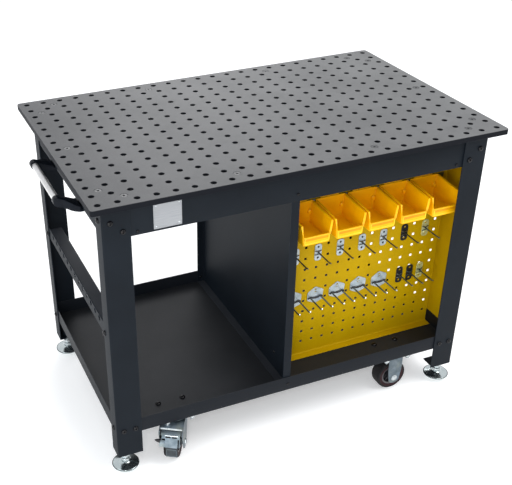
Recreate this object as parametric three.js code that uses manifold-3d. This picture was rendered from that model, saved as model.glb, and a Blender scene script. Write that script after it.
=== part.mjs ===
// Welding and fixture table on casters: perforated steel top, folded sheet frame, storage bay
// with pegboard, hooks and hanging bins, push handle, levelling feet and four casters.
// Units are millimetres, +Z is up and the floor is z = 0. Sizes are given from the middle of the top,
// and the finished table is then moved so that the Z axis passes through the middle of its footprint.

import * as THREE from 'three';
import { mergeGeometries, mergeVertices } from 'three/addons/utils/BufferGeometryUtils.js';
import Module from 'manifold-3d';

// ---- driving dimensions -----------------------------------------------------------------

const GAP = 0.3;
const TABLE_HEIGHT = 900;

const TOP = { length: 1219.2, depth: 762, thickness: 16, corner: 9 };
const GRID = { pitch: 50.8, columns: 24, rows: 15, diameter: 16 };

const LEG = { x: 575, y: 342, sheet: 3, frontWidth: 76, sideWidth: 51, bottom: 67 };
const APRON = { sheet: 3, flange: 28, longBottom: 786.5, shortBottom: 797 };
const SHELF = { underside: 143, sheet: 2, lipTop: 191 };
const DIVIDER = { x: -19, sheet: 2, flange: 26 };
const PEGBOARD = { front: -193, sheet: 1.5, flange: 26, left: -16.7, right: 571.4 };
const PEG = { pitch: 38.1, x0: 16.3, z0: 194, columns: 15, rows: 13, size: 8.5 };
const SIDE_PANEL = { inner: 569.7, outer: 571.4, bottom: 191.3 };
const RAIL = { size: 38, sheet: 3, top: 508, holes: 13, pitch: 40.3, holeZ: 497, diameter: 15 };

const BAR = { x: -629, z: 812, radius: 9.5, half: 128 };
const BRACKET = { inner: 112, cupEnd: 134, baseEnd: 166, cupRadius: 12 };

const FOOT = { x: 546, y: 313, padRadius: 40, padBottom: 12, padTop: 27, stemTop: 118 };
const STEM = { radius: 8, hexRadius: 13.8 };

const CASTER = { x: 375, y: 285, plateX: 102, plateY: 95, plate: 3, housing: 44, housingLow: 131 };
const WHEEL = { radius: 50.8, hub: 23.5, tread: 21.5, bore: 6.35, axle: 5.9, spacer: 9 };
const FORK = { inside: 33, sheet: 3, trail: 35, crown: 129.4 };
const KINGPIN = 6;
const PEDAL = { sheet: 2.3, armInside: 25, armOutside: 27.5 };
const SWIVEL_HEADINGS = { front: 238, rear: 158 };

const BIN = { pitch: 107, first: 50, count: 5, bottom: 629, top: 703, lip: 656, front: -327, back: -199.6 };
const BIN_WALL = 2.2;
const BIN_RAIL = { left: -6, right: 552, lipTop: 700, seat: 688 };

const HOOK = { plate: 2, width: 24, height: 58, rod: 2.6, reach: 78 };
const SINGLE_Z = 513.5;
const DOUBLE_Z = 361;

// ---- materials --------------------------------------------------------------------------

const finish = {
  plate: { color: 0x6b6d70, roughness: 0.42, metalness: 0.85 },
  powder: { color: 0x262d35, roughness: 0.62, metalness: 0.15 },
  yellow: { color: 0xc9a200, roughness: 0.45, metalness: 0.1 },
  zinc: { color: 0xb9bfc2, roughness: 0.3, metalness: 0.95 },
  chrome: { color: 0xdfe2e4, roughness: 0.12, metalness: 1.0 },
  black: { color: 0x17191b, roughness: 0.5, metalness: 0.0 },
  tread: { color: 0x3a1a1c, roughness: 0.6, metalness: 0.0 },
  bin: { color: 0xf0ae0c, roughness: 0.42, metalness: 0.0 },
  clear: { color: 0x9aa83a, roughness: 0.25, metalness: 0.0 },
};

// ---- solid helpers ----------------------------------------------------------------------

const wasm = await Module();
wasm.setup();

// A closed three.js geometry as a manifold solid.
function toSolid(geometry) {
  const plain = geometry.clone();
  plain.deleteAttribute('normal');
  plain.deleteAttribute('uv');
  const welded = mergeVertices(plain, 1e-4);
  return new wasm.Manifold(new wasm.Mesh({
    numProp: 3,
    vertProperties: new Float32Array(welded.attributes.position.array),
    triVerts: new Uint32Array(welded.index.array),
  }));
}

// A manifold solid back as a three.js geometry.
function toGeometry(solid) {
  const mesh = solid.getMesh();
  const geometry = new THREE.BufferGeometry();
  geometry.setAttribute('position', new THREE.BufferAttribute(new Float32Array(mesh.vertProperties), 3));
  geometry.setIndex(new THREE.BufferAttribute(new Uint32Array(mesh.triVerts), 1));
  geometry.computeVertexNormals();
  return geometry;
}

function fuse(...solids) {
  return solids.reduce((sum, next) => sum.add(next));
}

function cut(body, ...tools) {
  return tools.reduce((rest, tool) => rest.subtract(tool), body);
}

// Box between two opposite corners.
function box(x0, x1, y0, y1, z0, z1) {
  const geometry = new THREE.BoxGeometry(Math.abs(x1 - x0), Math.abs(y1 - y0), Math.abs(z1 - z0));
  geometry.translate((x0 + x1) / 2, (y0 + y1) / 2, (z0 + z1) / 2);
  return toSolid(geometry);
}

// Upright cylinder or prism standing on z0.
function post(x, y, z0, z1, radius, sides = 16, turn = 0) {
  const geometry = new THREE.CylinderGeometry(radius, radius, z1 - z0, sides);
  geometry.rotateX(Math.PI / 2);
  geometry.rotateZ(turn);
  geometry.translate(x, y, (z0 + z1) / 2);
  return toSolid(geometry);
}

// Cylinder lying along Y.
function barY(x, z, y0, y1, radius, sides = 16) {
  const geometry = new THREE.CylinderGeometry(radius, radius, y1 - y0, sides);
  geometry.translate(x, (y0 + y1) / 2, z);
  return toSolid(geometry);
}

function outline(points) {
  return new THREE.Shape(points.map(([a, b]) => new THREE.Vector2(a, b)));
}

// Plan outline (x, y) raised from z0 to z1.
function raised(points, z0, z1) {
  const geometry = new THREE.ExtrudeGeometry(outline(points), { depth: z1 - z0, bevelEnabled: false });
  geometry.translate(0, 0, z0);
  return toSolid(geometry);
}

// Side outline (x, z) carried along Y from y0 to y1.
function along(points, y0, y1) {
  const geometry = new THREE.ExtrudeGeometry(outline(points), { depth: y1 - y0, bevelEnabled: false });
  geometry.rotateX(Math.PI / 2);
  geometry.translate(0, y1, 0);
  return toSolid(geometry);
}

// Closed profile of (radius, height) points turned about the Z axis.
function turned(points, segments) {
  const profile = points.map(([r, h]) => new THREE.Vector2(r, h));
  const geometry = new THREE.LatheGeometry(profile, segments);
  geometry.rotateX(Math.PI / 2);
  return toSolid(geometry);
}

// Eight-cornered block: bottom rectangle and top rectangle given as [x0, x1, y0, y1].
function tapered(low, high, z0, z1) {
  const ring = ([x0, x1, y0, y1], z) => [x0, y0, z, x1, y0, z, x1, y1, z, x0, y1, z];
  const geometry = new THREE.BufferGeometry();
  const corners = new Float32Array([...ring(low, z0), ...ring(high, z1)]);
  geometry.setAttribute('position', new THREE.BufferAttribute(corners, 3));
  geometry.setIndex([
    0, 2, 1, 0, 3, 2, 4, 5, 6, 4, 6, 7,
    0, 1, 5, 0, 5, 4, 1, 2, 6, 1, 6, 5,
    2, 3, 7, 2, 7, 6, 3, 0, 4, 3, 4, 7,
  ]);
  return toSolid(geometry);
}

function arcPoints(cx, cy, radius, from, to, steps) {
  const points = [];
  for (let i = 0; i <= steps; i += 1) {
    const angle = THREE.MathUtils.degToRad(from + ((to - from) * i) / steps);
    points.push([cx + radius * Math.cos(angle), cy + radius * Math.sin(angle)]);
  }
  return points;
}

const table = new THREE.Group();
table.name = 'welding_table';

function place(name, solid, look) {
  const mesh = new THREE.Mesh(toGeometry(solid), new THREE.MeshStandardMaterial({ ...finish[look] }));
  mesh.name = name;
  table.add(mesh);
}

// ---- perforated top ---------------------------------------------------------------------

function tableTop() {
  const { length, depth, thickness, corner } = TOP;
  const x = length / 2 - corner;
  const y = depth / 2 - corner;
  const plan = [
    ...arcPoints(x, y, corner, 0, 90, 3),
    ...arcPoints(-x, y, corner, 90, 180, 3),
    ...arcPoints(-x, -y, corner, 180, 270, 3),
    ...arcPoints(x, -y, corner, 270, 360, 3),
  ];
  const plate = raised(plan, TABLE_HEIGHT - thickness, TABLE_HEIGHT);
  const drills = [];
  for (let i = 0; i < GRID.columns; i += 1) {
    for (let j = 0; j < GRID.rows; j += 1) {
      const drill = new THREE.CylinderGeometry(GRID.diameter / 2, GRID.diameter / 2, thickness + 4, 6);
      drill.rotateX(Math.PI / 2);
      drill.translate(
        (i - (GRID.columns - 1) / 2) * GRID.pitch,
        (j - (GRID.rows - 1) / 2) * GRID.pitch,
        TABLE_HEIGHT - thickness / 2,
      );
      drills.push(drill);
    }
  }
  return cut(plate, toSolid(mergeGeometries(drills)));
}

// ---- folded frame -----------------------------------------------------------------------

// Corner leg: a folded angle with a foot plate and a welded nut for the levelling stud.
function leg(sx, sy) {
  const top = TABLE_HEIGHT - TOP.thickness - GAP;
  const { x, y, sheet, frontWidth, sideWidth, bottom } = LEG;
  const face = box(sx * x, sx * (x - frontWidth), sy * y, sy * (y - sheet), bottom, top);
  const side = box(sx * x, sx * (x - sheet), sy * y, sy * (y - sideWidth), bottom, top);
  const footPlate = box(sx * x, sx * (x - 70), sy * y, sy * (y - sideWidth), bottom, bottom + 3);
  const nut = post(sx * FOOT.x, sy * FOOT.y, bottom + 1, bottom + 16, 13.8, 6);
  const bore = post(sx * FOOT.x, sy * FOOT.y, bottom - 5, bottom + 20, STEM.radius + 0.5, 12);
  return cut(fuse(face, side, footPlate, nut), bore);
}

// Long apron: upright web with a top flange for the plate and a short bottom return.
function longApron(sy) {
  const x = LEG.x - LEG.sheet - GAP;
  const y = LEG.y - LEG.sheet - GAP;
  const top = TABLE_HEIGHT - TOP.thickness - GAP;
  const web = box(-x, x, sy * y, sy * (y - APRON.sheet), APRON.longBottom, top);
  const flange = box(-540, 540, sy * y, sy * (y - APRON.flange), top - APRON.sheet, top);
  return fuse(web, flange);
}

// Short apron: as the long one, with a bottom return that also carries the handle.
function shortApron(sx) {
  const x = LEG.x - LEG.sheet - GAP;
  const y = LEG.y - LEG.sheet - 2 * GAP - APRON.sheet;
  const top = TABLE_HEIGHT - TOP.thickness - GAP;
  const bottom = APRON.shortBottom;
  const web = box(sx * x, sx * (x - APRON.sheet), -y, y, bottom, top);
  const flange = box(sx * x, sx * (x - APRON.flange), -308, 308, top - APRON.sheet, top);
  const returned = box(sx * x, sx * (x - APRON.flange), -280, 280, bottom, bottom + APRON.sheet);
  return sx < 0 ? fuse(web, flange, returned) : fuse(web, flange);
}

// Bottom shelf: an upturned pan between the legs.
function bottomShelf() {
  const x = LEG.x - LEG.sheet - GAP;
  const y = LEG.y - LEG.sheet - GAP;
  const { underside, sheet, lipTop } = SHELF;
  const outer = box(-x, x, -y, y, underside, lipTop);
  const hollow = box(-(x - sheet), x - sheet, -(y - sheet), y - sheet, underside + sheet, lipTop + 5);
  return cut(outer, hollow);
}

function dividerPanel() {
  const { x, sheet, flange } = DIVIDER;
  const y = LEG.y - LEG.sheet - 2 * GAP - APRON.sheet;
  const floor = SHELF.underside + SHELF.sheet + GAP;
  const top = TABLE_HEIGHT - TOP.thickness - APRON.sheet - 2 * GAP;
  const panel = box(x, x + sheet, -y, y, floor, top);
  const foot = box(x - flange + sheet, x + sheet, -y, y, floor, floor + sheet);
  const front = box(x - flange + sheet, x + sheet, -y, -y + sheet, floor, top);
  const back = box(x - flange + sheet, x + sheet, y - sheet, y, floor, top);
  return fuse(panel, foot, front, back);
}

function pegboard() {
  const { front, sheet, flange, left, right } = PEGBOARD;
  const floor = SHELF.underside + SHELF.sheet + GAP;
  const top = TABLE_HEIGHT - TOP.thickness - APRON.sheet - 2 * GAP;
  const belowApron = APRON.shortBottom - GAP;
  const board = box(left, 568.1, front, front + sheet, floor, top);
  const edge = box(560, right, front, front + sheet, SIDE_PANEL.bottom, belowApron);
  const foot = box(left, 568.1, front - flange, front + sheet, floor, floor + sheet);
  const flangeNotch = box(540, 580, front - 5, front + 5, top - 1, top + 5);
  const punches = [];
  for (let i = 0; i < PEG.columns; i += 1) {
    for (let j = 0; j < PEG.rows; j += 1) {
      const punch = new THREE.BoxGeometry(PEG.size, sheet + 4, PEG.size);
      punch.translate(PEG.x0 + i * PEG.pitch, front + sheet / 2, PEG.z0 + j * PEG.pitch);
      punches.push(punch);
    }
  }
  return cut(fuse(board, edge, foot), flangeNotch, toSolid(mergeGeometries(punches)));
}

// Plain panel that closes the right end of the storage bay in front of the pegboard.
function sidePanel() {
  const y = LEG.y - LEG.sheet - 2 * GAP - APRON.sheet;
  const { inner, outer, bottom } = SIDE_PANEL;
  return box(inner, outer, -y, PEGBOARD.front - GAP, bottom, APRON.shortBottom - GAP);
}

// Angle across the open end with a row of holes for tools.
function sideRail() {
  const { size, sheet, top, holes, pitch, holeZ, diameter } = RAIL;
  const x = LEG.x - LEG.sheet - GAP;
  const y = LEG.y - LEG.sheet - GAP;
  const web = box(-x, -x + sheet, -y, y, top - size, top);
  const flange = box(-x, -x + size, -280, 280, top - sheet, top);
  const drills = [];
  for (let i = 0; i < holes; i += 1) {
    const drill = new THREE.CylinderGeometry(diameter / 2, diameter / 2, 12, 8);
    drill.rotateZ(Math.PI / 2);
    drill.translate(-x, (i - (holes - 1) / 2) * pitch, holeZ);
    drills.push(drill);
  }
  return cut(fuse(web, flange), toSolid(mergeGeometries(drills)));
}

// ---- push handle ------------------------------------------------------------------------

function handleBar() {
  return barY(BAR.x, BAR.z, -BAR.half, BAR.half, BAR.radius, 20);
}

// Moulded bracket: narrow socket round the bar, spreading to a base hooked under the apron.
function handleBracket(sy) {
  const { inner, cupEnd, baseEnd, cupRadius } = BRACKET;
  const plan = [
    [-546, inner], [-646, inner], [-646, cupEnd], [-616, cupEnd + 3],
    [-604, cupEnd + 12], [-592, baseEnd - 7], [-580, baseEnd], [-546, baseEnd],
  ];
  const profile = [
    [-546, 788], [-546, 796.6], [-575.4, 796.6], [-575.4, 805], [-581, 805], [-600, 813],
    ...arcPoints(BAR.x, BAR.z, cupRadius, 60, 255, 13), [-600, 790],
  ];
  const spread = raised(plan.map(([x, y]) => [x, sy * y]), 760, 840);
  const arm = along(profile, sy > 0 ? inner - 5 : -baseEnd - 5, sy > 0 ? baseEnd + 5 : -inner + 5);
  const socket = barY(BAR.x, BAR.z, sy > 0 ? 90 : -BAR.half - GAP, sy > 0 ? BAR.half + GAP : -90, 9.9, 20);
  return cut(arm.intersect(spread), socket);
}

function handleSpine() {
  return box(-621, -612, -BRACKET.inner + GAP, BRACKET.inner - GAP, 788, 797);
}

// ---- levelling feet ---------------------------------------------------------------------

function footPad(sx, sy) {
  const { padRadius, padBottom, padTop } = FOOT;
  const profile = [
    [0, padBottom], [padRadius - 2, padBottom], [padRadius, padBottom + 2],
    [padRadius - 0.5, padBottom + 5], [16, padTop - 2.5], [14, padTop], [0, padTop],
  ];
  return turned(profile, 18).translate([sx * FOOT.x, sy * FOOT.y, 0]);
}

function footStem(sx, sy) {
  const x = sx * FOOT.x;
  const y = sy * FOOT.y;
  const hex = post(x, y, FOOT.padTop + GAP, FOOT.padTop + 10, STEM.hexRadius, 6);
  const stud = post(x, y, FOOT.padTop + 5, FOOT.stemTop, STEM.radius, 12);
  return fuse(hex, stud);
}

// ---- casters ----------------------------------------------------------------------------

// Parts of a caster are modelled at the origin with the trail along +X and the axle along Y.
function setCaster(solid, x, y, heading = 0) {
  return solid.rotate([0, 0, heading]).translate([x, y, 0]);
}

function casterPlate() {
  const top = SHELF.underside - GAP;
  const { plateX, plateY, plate } = CASTER;
  return box(-plateX / 2, plateX / 2, -plateY / 2, plateY / 2, top - plate, top);
}

// Axle bolt with its ends outside the cheeks and a spacer on each side of the hub.
function axle(trail) {
  const end = FORK.inside + 6.5;
  const spacer = (from, to) => barY(trail, WHEEL.radius, from, to, WHEEL.spacer, 12);
  const outer = FORK.inside + 0.5;
  const inner = PEDAL.armOutside + 1;
  const bolt = barY(trail, WHEEL.radius, -end, end, WHEEL.axle, 10);
  return fuse(bolt, spacer(-outer, -inner), spacer(inner, outer));
}

function forkSides(profile) {
  const near = along(profile, -FORK.inside - FORK.sheet, -FORK.inside);
  const far = along(profile, FORK.inside, FORK.inside + FORK.sheet);
  return fuse(near, far);
}

// Fork with two straight legs that taper round the axle.
function rigidFork() {
  const profile = [...arcPoints(0, WHEEL.radius, 21, 205, 335, 6), [25, 84], [25, 141], [-25, 141], [-25, 84]];
  return fuse(casterPlate(), forkSides(profile), axle(0));
}

// Mounting plate of a swivel caster with its round housing, ball race and kingpin.
function swivelPlate() {
  const { plate, housing, housingLow } = CASTER;
  const under = SHELF.underside - GAP - plate;
  const round = post(0, 0, housingLow, under + 1, housing, 24);
  const race = post(0, 0, FORK.crown + GAP, housingLow + 1, 33, 20);
  const kingpin = post(0, 0, FORK.crown - 12, under, KINGPIN, 12);
  return fuse(casterPlate(), round, race, kingpin);
}

// Wide fork: crown, sloping front bridge and two deep cheeks round the brake.
function swivelFork() {
  const { crown, inside, sheet, trail } = FORK;
  const cheek = [
    ...arcPoints(trail + 1, WHEEL.radius - 1, 20.5, 200, 340, 6),
    [71, 78], [77, 102], [75, 114], [62, 119], [40, crown], [-14, crown], [-12, crown - 10], [4, 74],
  ];
  const roof = [
    [-24, crown - sheet], [39, crown - sheet], [61, 116], [62, 119], [40, crown], [-24, crown],
  ];
  const disc = post(0, 0, crown - 6, crown, 36, 20);
  const bridge = along(roof, -inside - 1, inside + 1);
  const bore = post(0, 0, crown - 10, crown + 5, KINGPIN + 0.6, 12);
  return cut(fuse(disc, bridge, forkSides(cheek), axle(trail)), bore);
}

function wheel(trail) {
  const { radius, hub, tread, bore } = WHEEL;
  const half = [[bore, -hub], [16, -hub], [17, -16], [41, -tread], [radius, 3 - tread]];
  const mirror = half.map(([r, h]) => [r, -h]).reverse();
  const profile = [...half, ...mirror, half[0]].map(([r, h]) => new THREE.Vector2(r, h));
  const geometry = new THREE.LatheGeometry(profile, 18);
  geometry.translate(trail, 0, radius);
  return toSolid(geometry);
}

// Point at a distance and an angle from the axle of a swivel caster.
function roundAxle([distance, degrees]) {
  const angle = THREE.MathUtils.degToRad(degrees);
  return [FORK.trail + distance * Math.cos(angle), WHEEL.radius + distance * Math.sin(angle)];
}

// Brake pedal: a bent plate in front of the wheel that rocks on the axle by two side arms.
// Its top dips under the fork's bridge, and a wing with a pointed tab stands out to one side.
function brakePedal() {
  const { sheet, armInside, armOutside } = PEDAL;
  const top = [60.9, 70];
  const lip = [60.5, 53];
  const bend = [57.5, 43];
  const shoulder = [57.2, 32];
  const knee = [57, 17];
  const toe = [58, -18];
  const strip = (from, to, left, right) => {
    const inner = [to, from].map(([distance, degrees]) => [distance - sheet, degrees]);
    return along([from, to, ...inner].map(roundAxle), left, right);
  };
  const arm = [[60.5, 53], [57.5, 43], [54.7, 17], [11, -60], [11, -100], [11, -140], [11, 180], [11, 140]];
  const plates = [
    strip(top, lip, -31, 29),
    strip(lip, bend, -armOutside, armOutside),
    strip(bend, knee, -17, 22),
    strip(shoulder, knee, -33, -16),
    strip([60, 38], [59, 33], -47, -30),
    strip([60, 38], shoulder, -33, -16),
    strip(knee, toe, -13, 22),
    along(arm.map(roundAxle), -armOutside, -armInside),
    along(arm.map(roundAxle), armInside, armOutside),
  ];
  const hole = barY(FORK.trail, WHEEL.radius, -armOutside - 5, armOutside + 5, WHEEL.axle + 0.5, 12);
  return cut(fuse(...plates), hole);
}

// ---- storage ----------------------------------------------------------------------------

// Open-fronted hanging bin with flared sides, a low front lip and a hooked rear edge.
function bin(centre) {
  const { bottom, top, lip, front, back } = BIN;
  const low = 43;
  const high = 52;
  const w = BIN_WALL;
  const shell = tapered(
    [centre - low, centre + low, front + 4, back],
    [centre - high, centre + high, front, back],
    bottom,
    top,
  );
  const hollow = tapered(
    [centre - low + w, centre + low - w, front + 4 + w, back - w],
    [centre - high + w, centre + high - w, front + w, back - w],
    bottom + w,
    top + 0.01,
  );
  const mouth = tapered(
    [centre - low + w - 3, centre + low - w + 3, front - 5, front + 12],
    [centre - high + w, centre + high - w, front - 5, front + 12],
    lip,
    top + 5,
  );
  const hook = fuse(
    box(centre - 30, centre + 30, back - 1, -196, top - 2, top),
    box(centre - 30, centre + 30, -197.3, -196, 692, top),
  );
  return fuse(cut(shell, hollow, mouth), hook);
}

function binRail() {
  const { left, right, lipTop, seat } = BIN_RAIL;
  const wall = PEGBOARD.front - GAP;
  return fuse(
    box(left, right, wall - 1.5, wall, 668, seat + 1.5),
    box(left, right, -199.3, wall, seat, seat + 1.5),
    box(left, right, -199.3, -197.8, seat, lipTop),
  );
}

function hookRod(x, z, reach) {
  const front = PEGBOARD.front - GAP;
  return barY(x, z, front - reach, front - 1, HOOK.rod, 8);
}

function singleHook(x, z) {
  const front = PEGBOARD.front - GAP;
  const { plate, width, height, reach } = HOOK;
  const c = 7;
  const w = width / 2;
  const h = height / 2;
  const face = along([
    [x - w, z - h + c], [x - w + c, z - h], [x + w - c, z - h], [x + w, z - h + c],
    [x + w, z + h - c], [x + w - c, z + h], [x - w + c, z + h], [x - w, z + h - c],
  ], front - plate, front);
  return fuse(face, hookRod(x, z, reach));
}

function doubleHook(x, z) {
  const front = PEGBOARD.front - GAP;
  const face = along([
    [x - 28.5, z - 16], [x, z - 30.5], [x + 26, z - 21], [x + 28.5, z + 16], [x, z + 30.5], [x - 28.5, z + 12],
  ], front - HOOK.plate, front);
  return fuse(face, hookRod(x - 18, z - 7, HOOK.reach), hookRod(x + 18, z - 7, HOOK.reach));
}

// ---- assembly ---------------------------------------------------------------------------

place('table_top', tableTop(), 'plate');

for (const [sx, sy, where] of [
  [-1, -1, 'front_left'], [1, -1, 'front_right'], [-1, 1, 'rear_left'], [1, 1, 'rear_right'],
]) {
  place(`leg_${where}`, leg(sx, sy), 'powder');
  place(`foot_pad_${where}`, footPad(sx, sy), 'zinc');
  place(`foot_stem_${where}`, footStem(sx, sy), 'zinc');
}

place('apron_front', longApron(-1), 'powder');
place('apron_rear', longApron(1), 'powder');
place('apron_left', shortApron(-1), 'powder');
place('apron_right', shortApron(1), 'powder');
place('bottom_shelf', bottomShelf(), 'powder');
place('divider_panel', dividerPanel(), 'powder');
place('side_rail', sideRail(), 'powder');

place('pegboard', pegboard(), 'yellow');
place('side_panel', sidePanel(), 'yellow');

place('handle_bar', handleBar(), 'chrome');
place('handle_bracket_front', handleBracket(-1), 'black');
place('handle_bracket_rear', handleBracket(1), 'black');
place('handle_spine', handleSpine(), 'black');

for (const [sy, where] of [[-1, 'front'], [1, 'rear']]) {
  const heading = SWIVEL_HEADINGS[where];
  place(`swivel_plate_${where}`, setCaster(swivelPlate(), -CASTER.x, sy * CASTER.y), 'zinc');
  place(`swivel_fork_${where}`, setCaster(swivelFork(), -CASTER.x, sy * CASTER.y, heading), 'zinc');
  place(`swivel_wheel_${where}`, setCaster(wheel(FORK.trail), -CASTER.x, sy * CASTER.y, heading), 'tread');
  place(`brake_pedal_${where}`, setCaster(brakePedal(), -CASTER.x, sy * CASTER.y, heading), 'zinc');
  place(`rigid_fork_${where}`, setCaster(rigidFork(), CASTER.x, sy * CASTER.y), 'zinc');
  place(`rigid_wheel_${where}`, setCaster(wheel(0), CASTER.x, sy * CASTER.y), 'tread');
}

place('bin_rail', binRail(), 'zinc');
for (let i = 0; i < BIN.count; i += 1) {
  place(`bin_${i + 1}`, bin(BIN.first + i * BIN.pitch), 'bin');
}

const singleLooks = ['zinc', 'zinc', 'zinc', 'zinc', 'zinc', 'black', 'clear'];
singleLooks.forEach((look, i) => {
  place(`hook_upper_${i + 1}`, singleHook(57 + i * 2 * PEG.pitch, SINGLE_Z), look);
});
for (let i = 0; i < 5; i += 1) {
  place(`hook_double_${i + 1}`, doubleHook(57 + i * 2 * PEG.pitch, DOUBLE_Z), 'zinc');
}
place('hook_lower_1', singleHook(438, DOUBLE_Z - 3), 'black');
place('hook_lower_2', singleHook(476, DOUBLE_Z - 3), 'black');
place('hook_lower_3', singleHook(514, DOUBLE_Z - 3), 'clear');

// The origin lies on the floor under the middle of the whole footprint, handle included.
const extent = new THREE.Box3().setFromObject(table);
table.position.x = -(extent.min.x + extent.max.x) / 2;

export default table;
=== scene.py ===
"""Looks of a mobile perforated welding table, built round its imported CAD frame.

Shapes are in millimetres from the middle of the top, with x along the front, y to the back and z up
from the floor. piece() moves them into the frame and turns them into metres.
"""

import math

import bmesh
import bpy
from mathutils import Matrix, Vector
from mathutils.geometry import tessellate_polygon


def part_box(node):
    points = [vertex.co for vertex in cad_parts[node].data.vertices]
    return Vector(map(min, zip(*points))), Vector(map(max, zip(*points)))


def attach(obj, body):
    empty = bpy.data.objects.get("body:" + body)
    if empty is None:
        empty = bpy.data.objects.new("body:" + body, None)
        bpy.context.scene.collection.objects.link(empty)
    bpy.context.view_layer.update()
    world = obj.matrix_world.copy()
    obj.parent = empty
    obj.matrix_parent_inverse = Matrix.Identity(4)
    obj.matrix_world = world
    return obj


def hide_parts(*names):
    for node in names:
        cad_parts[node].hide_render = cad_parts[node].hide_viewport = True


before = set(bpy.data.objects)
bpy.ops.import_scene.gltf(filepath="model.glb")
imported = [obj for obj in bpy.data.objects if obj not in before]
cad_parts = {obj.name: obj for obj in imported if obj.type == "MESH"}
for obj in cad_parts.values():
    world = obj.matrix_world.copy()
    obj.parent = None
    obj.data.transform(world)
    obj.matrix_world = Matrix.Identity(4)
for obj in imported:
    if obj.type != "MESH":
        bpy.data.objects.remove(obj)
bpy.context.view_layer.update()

MM = 0.001
HEAD_SIDES = 24
CORNERS = {"front_left": (-1, -1), "front_right": (1, -1), "rear_left": (-1, 1), "rear_right": (1, 1)}
ENDS = {"front": -1, "rear": 1}
QUARTERS = ((1, 1, 0), (-1, 1, 90), (-1, -1, 180), (1, -1, 270))


def middle(node):
    """Middle of a CAD node's box, in millimetres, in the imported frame."""
    low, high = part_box(node)
    return (low + high) / 2 / MM


SHIFT = Vector((middle("table_top").x, 0, 0))

# ---- sizes ----

TOP_Z = 900
TOP_SHEET = 16
TOP_SIZE = (1219.2, 762)
TOP_CORNER = 9
PITCH = 50.8
COLUMNS = 24
ROWS = 15
HOLE_RADIUS = 8
SINK_RADIUS = 10

LEG_X = 575
LEG_Y = 342
LEG_WIDE = 76
LEG_NARROW = 51
LEG_SHEET = 3
LEG_TOP = 883.7
LEG_BOTTOM = 67
APRON_FACE = 338.7
SHELF_FLOOR = 145
SHEET_LOW = 145.4
SHEET_HIGH = 880.2
DIVIDER_X = (-43, -17)
DIVIDER_HALF = 335.4
DIVIDER_SHEET = 2

PEG_PITCH = 38.1
PEG_COLUMNS = 15
PEG_ROWS = 13
PEG_X = 16.3
PEG_Z = 194
PEGBOARD_X = (-16.7, 568.1)
PEG_FRONT = -193
PEG_SHEET = 1.5
HOOK_BACK = -193.3
HOOK_FACE = HOOK_BACK - 2
HOOK_X = 57

HANDLE_X = -629
HANDLE_Z = 812
FOOT_X = 546
FOOT_Y = 313

CASTER_X = 375
CASTER_Y = 285
BOLT_X = 39
BOLT_Y = 38
AXLE_Z = 50.8
TRAIL = 35  # from the kingpin to the axle
CROWN = 129.4  # top of the swivel fork
CHEEK = (33, 36)  # inner and outer face, from the wheel's middle
CASTER_PLATE = (139.7, 142.7)
SPOKES = 6

BIN_COUNT = 5
BIN_X = 50
BIN_PITCH = 107
BIN_LOW = 629
BIN_HIGH = 703
BIN_FRONT = -323
BIN_BACK = -199.8
BIN_LEAN = 4  # how far the front leans out at the top
BIN_WALL = 2.2
BIN_FLANGE = 3.6
BIN_STEPS = 6  # rings up each wall
BIN_STATIONS = (0.12, 0.28, 0.44, 0.62, 0.645, 0.75, 0.88, 0.93)

# ---- shapes: (points, faces) in millimetres ----


def circle(radius, count=32, centre=(0, 0), turn=0.0):
    """Points round a circle, the first at an angle of turn, in radians."""
    cx, cy = centre
    angles = [turn + 2 * math.pi * i / count for i in range(count)]
    return [(cx + radius * math.cos(a), cy + radius * math.sin(a)) for a in angles]


def arc(centre, radius, start, end, steps):
    """Points from the start angle to the end angle, in degrees."""
    angles = [math.radians(start + (end - start) * i / steps) for i in range(steps + 1)]
    return [(centre[0] + radius * math.cos(a), centre[1] + radius * math.sin(a)) for a in angles]


def rounded(points, radius=0.0, steps=5):
    """Closed loop, its corners eased by their own third value, or by radius."""
    count = len(points)
    out = []
    for i, point in enumerate(points):
        ease = point[2] if len(point) > 2 else radius
        here = Vector(point[:2])
        if ease <= 0:
            out.append(tuple(here))
            continue
        before = Vector(points[i - 1][:2]) - here
        after = Vector(points[(i + 1) % count][:2]) - here
        reach = min(ease, before.length * 0.49, after.length * 0.49)
        start = here + before.normalized() * reach
        end = here + after.normalized() * reach
        for k in range(steps + 1):
            t = k / steps
            out.append(tuple(start * (1 - t) ** 2 + here * 2 * t * (1 - t) + end * t * t))
    return out


def rectangle(x0, x1, y0, y1, radius=0.0, steps=5):
    return rounded([(x0, y0), (x1, y0), (x1, y1), (x0, y1)], radius, steps)


def inset(loop, distance):
    """Closed loop moved to its left by distance."""
    out = []
    count = len(loop)
    for i in range(count):
        here = Vector(loop[i])
        a = (here - Vector(loop[i - 1])).normalized()
        b = (Vector(loop[(i + 1) % count]) - here).normalized()
        left_a = Vector((-a.y, a.x))
        left_b = Vector((-b.y, b.x))
        way = left_a + left_b
        way = way.normalized() if way.length > 1e-6 else left_a
        out.append(here + way * (distance / max(way.dot(left_a), 0.5)))
    return out


def area(loop):
    """Area inside a loop, positive when it runs anticlockwise."""
    return sum(a[0] * b[1] - b[0] * a[1] for a, b in zip(loop, loop[1:] + loop[:1])) / 2


def level(loop, z):
    return [(x, y, z) for x, y in loop]


def loft(rings, close=False):
    """Rings of equal length joined one after another, capped at both ends or closed into a loop."""
    count = len(rings[0])
    points = [Vector(p) for ring in rings for p in ring]
    faces = []
    for k in range(len(rings) if close else len(rings) - 1):
        a = k * count
        b = ((k + 1) % len(rings)) * count
        for i in range(count):
            j = (i + 1) % count
            faces.append((a + i, a + j, b + j, b + i))
    if not close:
        faces.append(tuple(reversed(range(count))))
        faces.append(tuple(range(len(points) - count, len(points))))
    return points, faces


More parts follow.
